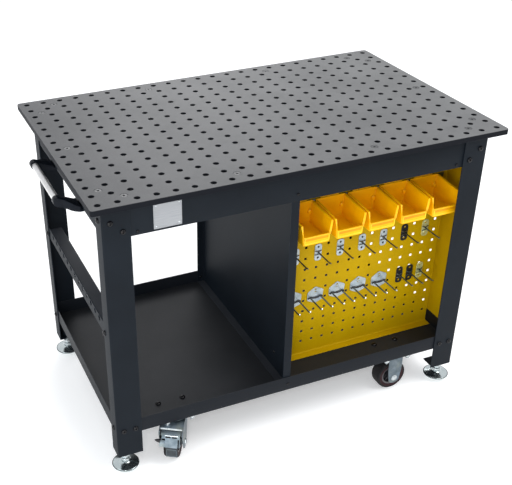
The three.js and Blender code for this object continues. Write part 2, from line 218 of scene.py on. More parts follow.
def plate(outer, low, high, edge, holes=()):
    """Flat part with holes, from low to high, with its edges chamfered by edge."""
    loops = [outer if area(outer) > 0 else outer[::-1]]
    loops += [hole if area(hole) < 0 else hole[::-1] for hole in holes]
    steps = [(edge, low), (0, low + edge), (0, high - edge), (edge, high)]
    points, faces, bottoms, tops = [], [], [], []
    for loop in loops:
        start = len(points)
        count = len(loop)
        for distance, z in steps:
            points += [Vector((p[0], p[1], z)) for p in inset(loop, distance)]
        for k in range(len(steps) - 1):
            a = start + k * count
            b = a + count
            for i in range(count):
                j = (i + 1) % count
                faces.append((a + i, a + j, b + j, b + i))
        bottoms.append(list(range(start, start + count)))
        tops.append(list(range(len(points) - count, len(points))))
    for rings in (bottoms, tops):
        flat = [i for ring in rings for i in ring]
        for triangle in tessellate_polygon([[points[i] for i in ring] for ring in rings]):
            faces.append(tuple(flat[t] for t in triangle))
    return points, faces


def lathe(profile, segments=48, close=False):
    """(radius, height) profile turned about the vertical axis."""
    return loft([level(circle(radius, segments), z) for radius, z in profile], close)


def tube(path, radius, sides=12, closed=False):
    """Round bar along a path of points, with slightly domed ends."""
    path = [Vector(p) for p in path]
    last = len(path) - 1
    rings = []
    normal = None
    for i, point in enumerate(path):
        if closed:
            tangent = (path[(i + 1) % (last + 1)] - path[i - 1]).normalized()
        else:
            tangent = (path[min(i + 1, last)] - path[max(i - 1, 0)]).normalized()
        normal = tangent.orthogonal() if normal is None else normal - tangent * normal.dot(tangent)
        normal = normal.normalized()
        across = tangent.cross(normal)
        ends = [(1.0, 0.0)]
        if not closed and i == 0:
            ends = [(0.55, -0.45), (0.9, -0.2), (1.0, 0.0)]
        if not closed and i == last:
            ends = [(1.0, 0.0), (0.9, 0.2), (0.55, 0.45)]
        for scale, along in ends:
            centre = point + tangent * radius * along
            rings.append([centre + (normal * x + across * y) * scale for x, y in circle(radius, sides)])
    return loft(rings, closed)


def moved(shape, matrix):
    points, faces = shape
    return [matrix @ p for p in points], faces


def at(x=0, y=0, z=0):
    return Matrix.Translation((x, y, z))


def turned(degrees, axis="Z"):
    return Matrix.Rotation(math.radians(degrees), 4, axis)


def standing(shape):
    """Plan (x, y) to elevation (x, z), with the thickness along y."""
    points, faces = shape
    return [Vector((p.x, p.z, p.y)) for p in points], faces


def sideways(shape):
    """Plan (x, y) to elevation (y, z), with the thickness along x."""
    points, faces = shape
    return [Vector((p.z, p.x, p.y)) for p in points], faces


def facing(shape, x, y, z, direction):
    """Shape with its axis turned from up to the direction, and moved to a place."""
    turn = Vector((0, 0, 1)).rotation_difference(Vector(direction)).to_matrix().to_4x4()
    return moved(shape, at(x, y, z) @ turn)


def hexagon(across_flats, z):
    """Hexagonal ring with as many points as the rings of a screw head."""
    ring = []
    for i in range(HEAD_SIDES):
        angle = 2 * math.pi * i / HEAD_SIDES
        reach = across_flats / 2 / math.cos(angle % (math.pi / 3) - math.pi / 6)
        ring.append((reach * math.cos(angle), reach * math.sin(angle), z))
    return ring


def socket_head(profile, across_flats, depth):
    """Screw head with a hexagon socket: profile of (radius, height), then the socket."""
    rings = [level(circle(radius, HEAD_SIDES), z) for radius, z in profile]
    top = profile[-1][1]
    rings += [hexagon(across_flats + 0.5, top), hexagon(across_flats, top - 0.3)]
    rings.append(hexagon(across_flats, top - depth))
    return loft(rings)


def button_head(radius):
    dome = [(1, 0.08), (0.95, 0.25), (0.85, 0.42), (0.70, 0.55), (0.52, 0.64), (0.36, 0.68)]
    profile = [(radius, -0.6)] + [(r * radius, z * radius) for r, z in dome]
    return socket_head(profile, 0.5 * radius, 0.3 * radius)


def nut(across_flats, height, bore):
    """Hexagon nut with chamfered corners."""
    chamfer = 0.1 * across_flats / math.sqrt(3)
    face = circle(0.49 * across_flats, HEAD_SIDES)
    hole = circle(bore, HEAD_SIDES)
    rings = [level(hole, 0), level(face, 0), hexagon(across_flats, chamfer)]
    rings += [hexagon(across_flats, height - chamfer), level(face, height), level(hole, height)]
    return loft(rings, close=True)


def thread(radius, low, high, pitch):
    """Bar with a ring for each turn of a screw thread, and a chamfered end."""
    root = radius - 0.8
    profile = [(root, low)]
    z = low
    while z < high - pitch:
        profile += [(root, z + 0.15 * pitch), (radius, z + 0.45 * pitch)]
        profile += [(radius, z + 0.6 * pitch), (root, z + 0.9 * pitch)]
        z += pitch
    profile.append((radius - 1.2, high))
    return lathe(profile, 24)


# ---- materials ----


class Look:
    """One procedural material, built up node by node."""

    def __init__(self, name):
        self.material = bpy.data.materials.new(name)
        self.material.use_nodes = True
        self.tree = self.material.node_tree
        self.surface = self.tree.nodes["Principled BSDF"]
        self.place = self.add("ShaderNodeTexCoord").outputs["Object"]

    def feed(self, socket, value):
        """Links a node's output into a socket, or sets a plain value or a colour."""
        if isinstance(value, bpy.types.NodeSocket):
            self.tree.links.new(value, socket)
        elif socket.type == "RGBA":
            socket.default_value = (*value, 1.0)
        else:
            socket.default_value = value

    def add(self, kind, inputs=None, **settings):
        node = self.tree.nodes.new(kind)
        for key, value in settings.items():
            setattr(node, key, value)
        for key, value in (inputs or {}).items():
            self.feed(node.inputs[key], value)
        return node

    def set(self, **inputs):
        """Inputs of the surface, with _ for each space in their names."""
        for key, value in inputs.items():
            self.feed(self.surface.inputs[key.replace("_", " ")], value)

    def noise(self, scale, detail, rough=0.5, stretch=None):
        where = self.place
        if stretch:
            where = self.add("ShaderNodeMapping", {"Vector": where, "Scale": stretch}).outputs["Vector"]
        inputs = {"Vector": where, "Scale": scale, "Detail": detail, "Roughness": rough}
        return self.add("ShaderNodeTexNoise", inputs).outputs["Fac"]

    def cells(self, scale):
        inputs = {"Vector": self.place, "Scale": scale}
        return self.add("ShaderNodeTexVoronoi", inputs).outputs["Distance"]

    def remap(self, value, low, high, to_low=0.0, to_high=1.0):
        keys = ("Value", "From Min", "From Max", "To Min", "To Max")
        inputs = dict(zip(keys, (value, low, high, to_low, to_high)))
        return self.add("ShaderNodeMapRange", inputs).outputs["Result"]

    def mix(self, factor, first, second):
        inputs = {"Fac": factor, "Color1": first, "Color2": second}
        return self.add("ShaderNodeMixRGB", inputs).outputs["Color"]

    def cover(self, tone, colour, value, low, high, most=1.0):
        """Tone with a colour coming over it as the value goes from low to high."""
        return self.mix(self.remap(value, low, high, 0.0, most), tone, colour)

    def bump(self, height, distance, strength):
        inputs = {"Height": height, "Distance": distance, "Strength": strength}
        if self.surface.inputs["Normal"].is_linked:
            inputs["Normal"] = self.surface.inputs["Normal"].links[0].from_socket
        self.set(Normal=self.add("ShaderNodeBump", inputs).outputs["Normal"])

    def upward(self):
        """Height of the surface's normal: 1 on tops, 0 on sides."""
        normal = self.add("ShaderNodeNewGeometry").outputs["Normal"]
        return self.add("ShaderNodeSeparateXYZ", {"Vector": normal}).outputs["Z"]

    def edges(self, radius, low=0.0, high=0.12):
        """1 along edges, 0 on flats."""
        eased = self.add("ShaderNodeBevel", {"Radius": radius}, samples=4).outputs["Normal"]
        flat = self.add("ShaderNodeNewGeometry").outputs["Normal"]
        dot = self.add("ShaderNodeVectorMath", {0: eased, 1: flat}, operation="DOT_PRODUCT")
        turn = self.add("ShaderNodeMath", {0: 1.0, 1: dot.outputs["Value"]}, operation="SUBTRACT")
        return self.remap(turn.outputs[0], low, high)


def plate_steel():
    """Oiled steel plate: cloudy grey that lightens to one end as painted light, a painted highlight along its
    edges, and painted shade darkening its sides.
    """
    look = Look("plate_steel")
    cloud = look.noise(4.0, 5, 0.6)
    speck = look.noise(160.0, 5, 0.7)
    fine = look.noise(900.0, 3, 0.6)
    # painted light: the plate lightens from its left end to its right, the way the light falls on it
    x = look.add("ShaderNodeSeparateXYZ", {"Vector": look.place}).outputs["X"]
    across = look.remap(x, -0.55, 0.5)
    dark = look.mix(across, (0.04, 0.041, 0.044), (0.118, 0.119, 0.12))
    light = look.mix(across, (0.056, 0.056, 0.06), (0.156, 0.157, 0.158))
    tone = look.cover(dark, light, cloud, 0.35, 0.68)
    tone = look.cover(tone, (0.24, 0.24, 0.24), speck, 0.52, 0.72, 0.16)
    tone = look.cover(tone, (0.03, 0.03, 0.031), look.noise(11.0, 6, 0.65), 0.56, 0.72, 0.22)
    # painted highlight along the edges
    tone = look.cover(tone, (0.26, 0.26, 0.26), look.edges(0.0012), 0.25, 1.0, 0.3)
    # painted shade: faces that don't look up, sides and hole walls, go almost black
    up = look.upward()
    tone = look.cover((0.008, 0.009, 0.012), tone, up, 0.5, 0.9)
    look.set(Base_Color=tone, Metallic=0.1, Roughness=look.remap(speck, 0.3, 0.7, 0.48, 0.58))
    look.set(Specular_IOR_Level=look.remap(up, 0.5, 0.9, 0.05, 0.4))
    look.bump(fine, 0.00006, 0.5)
    return look.material


def powder(name, dark, light, edge, shine, coarse=0.0, side=None):
    """Textured powder coat: pebbled skin, slow colour drift, edges lighter as rubbed wear and a painted
    highlight, and scuffs.

    A side colour takes over on faces that don't look up, so the tops carry the lighter tones as painted light
    and the sides painted shade.
    """
    look = Look(name)
    drift = look.noise(7.0, 4, 0.55)
    skin = look.noise(1500.0, 3, 0.6)
    pebble = look.cells(750.0)
    tone = look.cover(dark, light, drift, 0.3, 0.7)
    tone = look.cover(tone, edge, skin, 0.45, 0.75, 0.18)
    # painted light on the tops, painted shade on the sides
    if side:
        tone = look.cover(side, tone, look.upward(), 0.5, 0.9)
    scuff = look.noise(35.0, 8, 0.72, (1.0, 1.0, 3.0))
    tone = look.cover(tone, edge, scuff, 0.64, 0.76, 0.1 + coarse)
    # edges lighter: partly rubbed wear, partly a painted highlight
    tone = look.cover(tone, edge, look.edges(0.0014), 0.15, 1.0, 0.55)
    look.set(Base_Color=tone, Roughness=look.remap(skin, 0.3, 0.7, 0.46, 0.62), Specular_IOR_Level=shine)
    look.bump(pebble, 0.00018, 0.35)
    look.bump(skin, 0.0001, 0.4)
    return look.material


def zinc(name, dark, light, rough, tint=0.35, metal=0.85):
    """Bright zinc plating: pale, faintly iridescent patches over a drawn grain."""
    look = Look(name)
    patch = look.noise(45.0, 4, 0.6)
    grain = look.noise(240.0, 4, 0.65, (1.0, 1.0, 6.0))
    tone = look.cover(dark, light, patch, 0.32, 0.68)
    straw = look.noise(22.0, 2)
    blue = look.noise(27.0, 2, 0.5, (1.0, 1.3, 0.8))
    tone = look.cover(tone, (0.42, 0.45, 0.34), straw, 0.5, 0.72, tint)
    tone = look.cover(tone, (0.25, 0.33, 0.42), blue, 0.52, 0.7, tint)
    look.set(Base_Color=tone, Metallic=metal)
    look.set(Roughness=look.remap(grain, 0.3, 0.7, rough - 0.06, rough + 0.1))
    look.bump(grain, 0.00006, 0.5)
    return look.material


def satin_aluminium():
    """Anodised tube: almost white, with fine drawn lines along it."""
    look = Look("satin_aluminium")
    haze = look.noise(30.0, 5, 0.7)
    drawn = look.noise(420.0, 3, 0.5, (1.0, 0.06, 1.0))
    tone = look.cover((0.8, 0.79, 0.78), (0.66, 0.65, 0.64), haze, 0.35, 0.75)
    look.set(Base_Color=tone, Metallic=0.75, Roughness=look.remap(drawn, 0.3, 0.7, 0.32, 0.46))
    look.bump(drawn, 0.00004, 0.5)
    return look.material


def turned_steel():
    """Polished, zinc-plated foot pad: turned rings and a few cloudy marks."""
    look = Look("turned_steel")
    rings = look.noise(700.0, 2, 0.5, (0.2, 0.2, 1.0))
    cloud = look.noise(30.0, 4, 0.6)
    tone = look.cover((0.66, 0.71, 0.71), (0.54, 0.61, 0.62), cloud, 0.35, 0.7)
    look.set(Base_Color=tone, Metallic=1.0, Roughness=look.remap(rings, 0.3, 0.7, 0.14, 0.22))
    look.bump(rings, 0.000004, 0.5)
    return look.material


def moulded(name, dark, light, rough, grain_size=1100.0, shine=0.4, rim=None, clearness=0.0):
    """Injection-moulded plastic with a fine spark-eroded grain and flow marks.

    A rim colour shows along thin edges as a painted highlight.
    """
    look = Look(name)
    grain = look.noise(grain_size, 3, 0.55)
    flow = look.noise(18.0, 3, 0.5, (1.0, 1.0, 2.5))
    tone = look.cover(dark, light, flow, 0.3, 0.7)
    if rim:
        # painted highlight along the edges
        tone = look.mix(look.edges(0.0016, 0.05, 0.35), tone, rim)
    look.set(Base_Color=tone, Roughness=look.remap(grain, 0.3, 0.7, rough - 0.08, rough + 0.1))
    look.set(Specular_IOR_Level=shine)
    if clearness:
        look.set(Transmission_Weight=clearness, IOR=1.45)
    look.bump(grain, 0.00008, 0.35)
    look.bump(flow, 0.0004, 0.2)
    return look.material


def rubber(name, dark, light):
    """Polyurethane or rubber: dull, dusty in the pores."""
    look = Look(name)
    pores = look.noise(420.0, 4, 0.65)
    dust = look.noise(40.0, 6, 0.7)
    tone = look.cover(dark, light, dust, 0.4, 0.75)
    look.set(Base_Color=tone, Roughness=look.remap(pores, 0.3, 0.7, 0.5, 0.75), Specular_IOR_Level=0.16)
    look.bump(pores, 0.00015, 0.4)
    return look.material


def brushed_badge():
    """Satin aluminium with fine horizontal brushing."""
    look = Look("badge_aluminium")
    brush = look.noise(300.0, 4, 0.7, (0.06, 1.0, 3.0))
    tone = look.cover((0.27, 0.28, 0.295), (0.38, 0.39, 0.405), brush, 0.3, 0.7)
    look.set(Base_Color=tone, Metallic=0.6, Roughness=0.42)
    look.bump(brush, 0.00005, 0.5)
    return look.material


STEEL = plate_steel()
SHADED = (0.005, 0.007, 0.0105)
POWDER = powder("black_powder", (0.0036, 0.0056, 0.0086), (0.0058, 0.0088, 0.013),
                (0.02, 0.03, 0.042), 0.12)
# the shelf's powder: tops lighter than the black powder as painted light, sides in the shaded colour
FLOOR_POWDER = powder("shelf_powder", (0.0118, 0.0128, 0.015), (0.018, 0.0192, 0.022),
                      (0.048, 0.051, 0.057), 0.16, 0.25, SHADED)
# a lighter copy of the black powder for ledges that look up: painted light, with shaded sides
LEDGE = powder("ledge_powder", (0.019, 0.0215, 0.027), (0.027, 0.0295, 0.035),
               (0.06, 0.065, 0.075), 0.14, 0.1, SHADED)
YELLOW = powder("yellow_powder", (0.43, 0.27, 0.0), (0.51, 0.325, 0.0), (0.78, 0.54, 0.02), 0.08)
ZINC = zinc("zinc_plate", (0.085, 0.112, 0.13), (0.165, 0.2, 0.225), 0.36)
BRIGHT = zinc("zinc_bright", (0.42, 0.46, 0.47), (0.64, 0.67, 0.68), 0.22, 0.12)
PLATE_ZINC = zinc("zinc_hook_plate", (0.3, 0.37, 0.4), (0.5, 0.56, 0.59), 0.34, 0.3, 0.5)
DARK_STEEL = zinc("oiled_wire", (0.1, 0.1, 0.085), (0.18, 0.175, 0.15), 0.35, 0.05)
BLACK_WIRE = zinc("blackened_wire", (0.01, 0.01, 0.011), (0.022, 0.022, 0.024), 0.35, 0.0, 0.3)
# darker zinc on the pedal's toe
DARK_TOE_ZINC = zinc("pedal_toe_dark", (0.03, 0.037, 0.043), (0.055, 0.064, 0.072), 0.42, 0.1, 0.6)
TURNED = turned_steel()
SATIN = satin_aluminium()
BLACK = moulded("black_plastic", (0.008, 0.009, 0.01), (0.014, 0.015, 0.017), 0.42)
HANDLE = moulded("handle_plastic", (0.003, 0.0045, 0.0075), (0.006, 0.008, 0.012), 0.3, 1300.0, 0.1)
BOLT = moulded("black_oxide", (0.002, 0.002, 0.003), (0.004, 0.004, 0.005), 0.18, 1600.0, 0.24)
SOCKET = zinc("countersunk_steel", (0.055, 0.056, 0.058), (0.085, 0.086, 0.088), 0.42, 0.0, 0.3)
TREAD = rubber("tread_black", (0.008, 0.008, 0.009), (0.022, 0.02, 0.02))
MAROON = rubber("tread_maroon", (0.026, 0.009, 0.011), (0.042, 0.015, 0.018))
CORE = moulded("wheel_core", (0.014, 0.015, 0.018), (0.026, 0.027, 0.031), 0.4)
RING = moulded("wheel_ring", (0.06, 0.055, 0.058), (0.095, 0.088, 0.092), 0.38)
# its rim colour is a painted highlight along the bin's edges
BIN = moulded("bin_plastic", (0.86, 0.42, 0.0), (0.94, 0.48, 0.0), 0.38, 1400.0, 0.25,
              (1.0, 0.66, 0.03))
# lighter orange for the label frame's bars: a painted highlight
LABEL_FRAME_HIGHLIGHT = moulded("bin_label_frame_highlight", (0.94, 0.54, 0.01), (0.98, 0.6, 0.02), 0.38, 1400.0, 0.25)
# darker orange for a sheet in the label recess: painted shade
LABEL_WELL_SHADE = moulded("bin_label_well_shade", (0.66, 0.27, 0.0), (0.74, 0.32, 0.0), 0.42, 1400.0, 0.2)
CLEAR = moulded("clear_plastic", (0.62, 0.66, 0.3), (0.72, 0.74, 0.38), 0.3, 900.0, clearness=0.45)
BADGE = brushed_badge()

# ---- pieces ----


def piece(name, parts, replaces=None, body="frame", place=Matrix(), smooth=32):
    """One object from (shape, material) pairs, moved to a place and riding on a body.

    Faces that meet at less than the smooth angle, in degrees, shade as one surface.
    """
    points, faces, materials, owners = [], [], [], []
    for (shape_points, shape_faces), material in parts:
        start = len(points)
        points += [(place @ p + SHIFT) * MM for p in shape_points]
        faces += [tuple(start + i for i in face) for face in shape_faces]
        if material not in materials:
            materials.append(material)
        owners += [materials.index(material)] * len(shape_faces)
    mesh = bpy.data.meshes.new(name)
    mesh.from_pydata(points, [], faces)
    mesh.polygons.foreach_set("material_index", owners)
    for material in materials:
        mesh.materials.append(material)
    work = bmesh.new()
    work.from_mesh(mesh)
    bmesh.ops.recalc_face_normals(work, faces=work.faces)
    work.to_mesh(mesh)
    work.free()
    mesh.polygons.foreach_set("use_smooth", [True] * len(mesh.polygons))
    mesh.set_sharp_from_angle(angle=math.radians(smooth))
    made = bpy.data.objects.new(name, mesh)
    bpy.context.scene.collection.objects.link(made)
    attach(made, body)
    if replaces:
        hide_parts(replaces)


def dress(node, material, ease, segments=2):
    """A CAD node that stays: its material, and its edges eased by ease millimetres."""
    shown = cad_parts[node]
    shown.data.materials.clear()
    shown.data.materials.append(material)
    weld = shown.modifiers.new("weld", "WELD")
    weld.merge_threshold = 0.00001
    bevel = shown.modifiers.new("ease", "BEVEL")
    bevel.width = ease * MM
    bevel.segments = segments
    bevel.limit_method = "ANGLE"
    bevel.angle_limit = math.radians(30)
    bevel.harden_normals = True
    for polygon in shown.data.polygons:
        polygon.use_smooth = True


def grid_place(column, row):
    return ((column - (COLUMNS - 1) / 2) * PITCH, (row - (ROWS - 1) / 2) * PITCH)


def table_top():
    """Plate with its grid of holes, and the countersunk screws between them."""
    half_x, half_y = TOP_SIZE[0] / 2, TOP_SIZE[1] / 2
    outline = []
    for x, y, start in QUARTERS:
        centre = (x * (half_x - TOP_CORNER), y * (half_y - TOP_CORNER))
        outline += arc(centre, TOP_CORNER, start, start + 90, 6)
    holes = [circle(HOLE_RADIUS, 32, grid_place(i, j)) for i in range(COLUMNS) for j in range(ROWS)]
    screws = [(i, j) for i in (1.5, 7.5, 15.5, 21.5) for j in (0.5, 13.5)]
    screws += [(i, j) for i in (0.5, 22.5) for j in (1.5, 7, 12.5)]
    sinks = [circle(SINK_RADIUS, 32, grid_place(i, j)) for i, j in screws]
    slab = plate(outline, TOP_Z - TOP_SHEET, TOP_Z, 0.7, holes + sinks)
    piece("top_plate", [(slab, STEEL)], "table_top")
    profile = [(8.6, -15.0), (8.6, -6.0), (9.5, -5.0), (9.5, -0.7), (9.2, -0.35), (7.0, -0.3)]
    head = socket_head(profile, 6.0, 3.5)
    heads = [(moved(head, at(*grid_place(i, j), TOP_Z)), SOCKET) for i, j in screws]
    piece("top_screws", heads)


def legs():
    """Folded angles, each with a foot plate and a nut welded on it."""
    bore = 8.6
    for where, (sx, sy) in CORNERS.items():
        x, y = sx * LEG_X, sy * LEG_Y
        inner_x, inner_y = x - sx * LEG_SHEET, y - sy * LEG_SHEET
        end_x, end_y = x - sx * LEG_WIDE, y - sy * LEG_NARROW
        plan = [(x, y, 4.5), (end_x, y), (end_x, inner_y)]
        plan += [(inner_x, inner_y, 1.5), (inner_x, end_y), (x, end_y)]
        angle = plate(rounded(plan), LEG_BOTTOM, LEG_TOP, 0.6)
        hole = circle(bore, 32, (sx * FOOT_X, sy * FOOT_Y))
        corners = sorted((inner_x, x - sx * 70)) + sorted((inner_y, end_y))
        above = LEG_BOTTOM + LEG_SHEET
        sole = plate(rectangle(*corners, 2.0), LEG_BOTTOM, above, 0.4, [hole])
        weld_nut = moved(nut(24, 12.5, bore), at(sx * FOOT_X, sy * FOOT_Y, above + 0.4))
        parts = [(angle, POWDER), (sole, POWDER), (weld_nut, POWDER)]
        piece(f"leg_angle_{where}", parts, f"leg_{where}")


def frame_screws():
    """Button-head screws of the legs, rail, shelf, aprons and divider."""
    head, big, small = button_head(8.0), button_head(8.75), button_head(4.5)
    heads = []
    for sx, sy in CORNERS.values():
        for x, z in ((552, 836), (520, 806), (553, 161), (518, 161)):
            heads.append(facing(head, sx * x, sy * LEG_Y, z, (0, sy, 0)))
        for z in (836, 161):
            heads.append(facing(head, sx * LEG_X, sy * 314, z, (sx, 0, 0)))
        for x in (CASTER_X - BOLT_X, CASTER_X + BOLT_X):
            for y in (CASTER_Y - BOLT_Y, CASTER_Y + BOLT_Y):
                heads.append(moved(big, at(sx * x, sy * y, SHELF_FLOOR)))
    for sy in (-1, 1):
        heads.append(facing(head, -LEG_X, sy * 299, 485, (-1, 0, 0)))
        for x in (-480, 480):
            heads.append(facing(small, x, sy * APRON_FACE, 797, (0, sy, 0)))
    for z in (166.2, 807):
        heads.append(facing(small, -26.7, -APRON_FACE, z, (0, -1, 0)))
    heads.append(facing(small, DIVIDER_X[1] - DIVIDER_SHEET, -225.9, 208, (-1, 0, 0)))
    heads.append(facing(small, -32.2, DIVIDER_HALF - DIVIDER_SHEET, 165.6, (0, -1, 0)))
    piece("frame_screws", [(shape, BOLT) for shape in heads])


def folded_sheets():
    """The sheets that stay as the CAD has them."""
    for side in ("front", "rear", "left", "right"):
        dress(f"apron_{side}", POWDER, 0.8)
    dress("bottom_shelf", FLOOR_POWDER, 0.9, 3)
    dress("side_panel", YELLOW, 0.5)
    dress("bin_rail", ZINC, 0.4)


def divider():
    """Wall with a folded edge at the front and the back, on a foot flange."""
    edge, face = DIVIDER_X
    inside = face - DIVIDER_SHEET
    half = DIVIDER_HALF
    inner = half - DIVIDER_SHEET
    plan = [
        (edge, -half), (face, -half, 3.5), (face, half, 3.5), (edge, half),
        (edge, inner), (inside, inner, 1.5), (inside, -inner, 1.5), (edge, -inner),
    ]
    wall = plate(rounded(plan), SHEET_LOW, SHEET_HIGH, 0.4)
    foot = rectangle(edge + 1, inside + 0.5, 0.4 - inner, inner - 0.4)
    flange = plate(foot, SHEET_LOW, SHEET_LOW + DIVIDER_SHEET, 0.3)
    piece("divider_sheet", [(wall, POWDER), (flange, LEDGE)], "divider_panel")


def side_rail():
    """Angle across the left end: a web with a row of holes, and a lip along its top."""
    top = 508
    holes = [circle(7.5, 32, ((i - 6) * 40.3, 497)) for i in range(13)]
    web = sideways(plate(rectangle(-338.4, 338.4, 470, top, 2.5), -571.7, -568.7, 0.7, holes))
    lip = plate(rectangle(-570.6, -533.7, -280, 280, 3.0), top - 3, top, 0.7)
    piece("rail_angle", [(web, POWDER), (lip, LEDGE)], "side_rail")


def pegboard():
    """Board with square peg holes, and the flange folded forward at its foot."""
    left, right = PEGBOARD_X
    ear, ear_low, ear_high = right + 3.2, 191.4, 796.6
    outer = [
        (left, SHEET_LOW), (right, SHEET_LOW), (right, ear_low), (ear, ear_low),
        (ear, ear_high), (right, ear_high), (right, SHEET_HIGH), (left, SHEET_HIGH),
    ]
    punched = rectangle(-4.2, 4.2, -4.2, 4.2, 1.6, 3)
    holes = []
    for i in range(PEG_COLUMNS):
        for j in range(PEG_ROWS):
            holes.append([(x + PEG_X + i * PEG_PITCH, z + PEG_Z + j * PEG_PITCH) for x, z in punched])
    board = standing(plate(outer, PEG_FRONT, PEG_FRONT + PEG_SHEET, 0.3, holes))
    lip, low, high = -219, SHEET_LOW, SHEET_LOW + PEG_SHEET
    section = [(lip, low), (PEG_FRONT + 0.8, low), (PEG_FRONT + 0.8, 151), (PEG_FRONT, 151)]
    section += [(-193.05, 150.2), (-193.6, 148.2), (-195.2, 147.0), (-197.2, high), (lip, high)]
    bend = sideways(plate(section, left, right, 0.05))
    piece("pegboard_sheet", [(board, YELLOW), (bend, YELLOW)], "pegboard")


def handle():
    """Tube between two moulded brackets on a spine, with a raised line along each bracket's rim."""
    half = 127.5
    ends = [(8.6, -half), (9.3, 0.3 - half), (9.5, 1 - half), (9.5, half - 1), (9.3, half - 0.3), (8.6, half)]
    bar = facing(lathe(ends, 64), HANDLE_X, 0, HANDLE_Z, (0, 1, 0))
    piece("handle_tube", [(bar, SATIN)], "handle_bar")
    for end in ENDS:
        dress(f"handle_bracket_{end}", HANDLE, 1.4, 3)
    dress("handle_spine", HANDLE, 1.2, 3)
    rim = [(-638, 113, 818.2), (-634, 113.4, 822.4), (HANDLE_X, 114, 823.6), (-622.5, 116, 822)]
    rim += [(-611.5, 121, 817.6), (-600, 129, 812.6), (-588, 138, 807.4), (-583, 148, 805.2)]
    rim.append((-582.4, 157, 805))
    for end, sy in ENDS.items():
        path = [(x, sy * y, z) for x, y, z in rim]
        piece(f"handle_rim_{end}", [(tube(path, 1.3, 10), HANDLE)])


def feet():
    """Turned pads on screw studs, each with a hexagon below and a lock nut under the leg."""
    profile = [(0.5, 12), (34, 12), (38.6, 12.3), (40, 13.4), (40.4, 15), (40, 16.6), (38.8, 17.4)]
    profile += [(38.2, 17.6), (37.6, 18.3), (30, 20.4), (22, 22.9), (17.2, 24.6), (15.2, 25.6)]
    profile += [(14.2, 26.6), (13.2, 27), (0.5, 27)]
    groove = [(40.1, 16.5), (40.35, 17.0), (38.6, 17.9), (38.2, 17.5)]
    pad = [(lathe(profile, 72), TURNED), (lathe(groove, 72, close=True), TREAD)]
    stud = [moved(nut(24, 9.7, 7.0), at(0, 0, 27.3)), thread(8.0, 36.8, 118, 2.0)]
    stud.append(lathe([(7.0, 27.3), (7.0, 37.2)], 24))
    stud.append(moved(nut(24, 9.0, 8.3), at(0, 0, 42) @ turned(17)))
    stud = [(shape, BRIGHT) for shape in stud]
    for where, (sx, sy) in CORNERS.items():
        place = at(sx * FOOT_X, sy * FOOT_Y)
        piece(f"pad_{where}", pad, f"foot_pad_{where}", f"foot_{where}", place)
        piece(f"stud_{where}", stud, f"foot_stem_{where}", f"stud_{where}", place)


# ---- casters ----


def caster_wheel():
    """Wheel about the y axis: tyre, two rings and a hub cap on each side, and a ribbed core."""
    rim = [(50.8, 14), (50.2, 17.8), (48.8, 20.4), (46.5, 21.5), (43.5, 21.0), (41, 19.6)]
    tyre = [(r, -h) for r, h in reversed(rim)] + rim
    maroon = [(34.5, 16.5), (35, 19.4), (37, 20.3), (41.5, 20.9), (43.8, 20.9), (44, 20), (38, 16.5)]
    grey = [(29, 14), (29.4, 18), (31, 19), (34.2, 19.2), (35.2, 18.6), (35.2, 14)]
    cap = [(6.4, 23.2), (6.4, 23.5), (11.5, 23.5), (12.2, 23), (12.2, 22.4)]
    parts = [(lathe(tyre, 96, close=True), TREAD)]
    for side in (-1, 1):
        for profile, sides, material in ((maroon, 96, MAROON), (grey, 96, RING), (cap, 32, BRIGHT)):
            parts.append((lathe([(r, side * h) for r, h in profile], sides, close=True), material))
    step = 2 * math.pi / SPOKES
    windows = [circle(5.6, 24, point) for point in circle(21.5, SPOKES, turn=step / 2)]
    hub = [(6.4, -23.1), (13.2, -23.1), (14, -22.3), (14.6, -6), (14.6, 6), (14, 22.3), (13.2, 23.1)]
    core = [plate(circle(40, 64), -5, 5, 1.0, windows + [circle(11, 32)])]
    core.append(lathe([(29.2, -15), (38, -16), (38, 16), (29.2, 15)], 96, close=True))
    core.append(lathe(hub + [(6.4, 23.1)], 48, close=True))
    rib = plate(rectangle(13, 30.5, -1.3, 1.3, 0.4, 2), -12, 12, 0.5)
    core += [moved(rib, turned(360 / SPOKES * k)) for k in range(SPOKES)]
    parts += [(shape, CORE) for shape in core]
    return [(moved(shape, turned(90, "X")), material) for shape, material in parts]


def axle_bolt(x):
    """Axle along y with a domed head, a nut at the other end, and spacers beside the hub."""
    parts = [moved(lathe([(5.4, -30), (5.9, -29), (5.9, 39), (5.0, 39.5)], 24), turned(90, "X"))]
    washer = lathe([(6.2, 0), (10.4, 0), (10.6, 0.4), (10.4, 1.2), (6.2, 1.2)], 32, close=True)
    dome = lathe([(8.4, 0), (8.6, 0.5), (8.0, 1.7), (6.0, 2.9), (3.0, 3.4), (0.8, 3.5)], 32)
    fixing = moved(nut(15, 3.4, 5.6), at(0, 0, 0.2))
    spacer = lathe([(6.1, 28.6), (8.7, 28.6), (9, 28.9), (9, 33.2), (6.1, 33.2)], 32, close=True)
    for side, end in ((-1, dome), (1, fixing)):
        turn = turned(-90 * side, "X")
        outside = at(0, side * CHEEK[1]) @ turn
        parts += [moved(washer, outside), moved(end, outside), moved(spacer, turn)]
    return [(moved(shape, at(x, 0, AXLE_Z)), BRIGHT) for shape in parts]


def mounting_plate():
    """Caster's top plate with a slot at each corner."""
    slots = []
    for sx, sy in CORNERS.values():
        slots.append([(x + sx * BOLT_X, y + sy * BOLT_Y) for x, y in rectangle(-6, 6, -5, 5, 5)])
    return plate(rectangle(-51, 51, -47.5, 47.5, 8), *CASTER_PLATE, 0.7, slots)


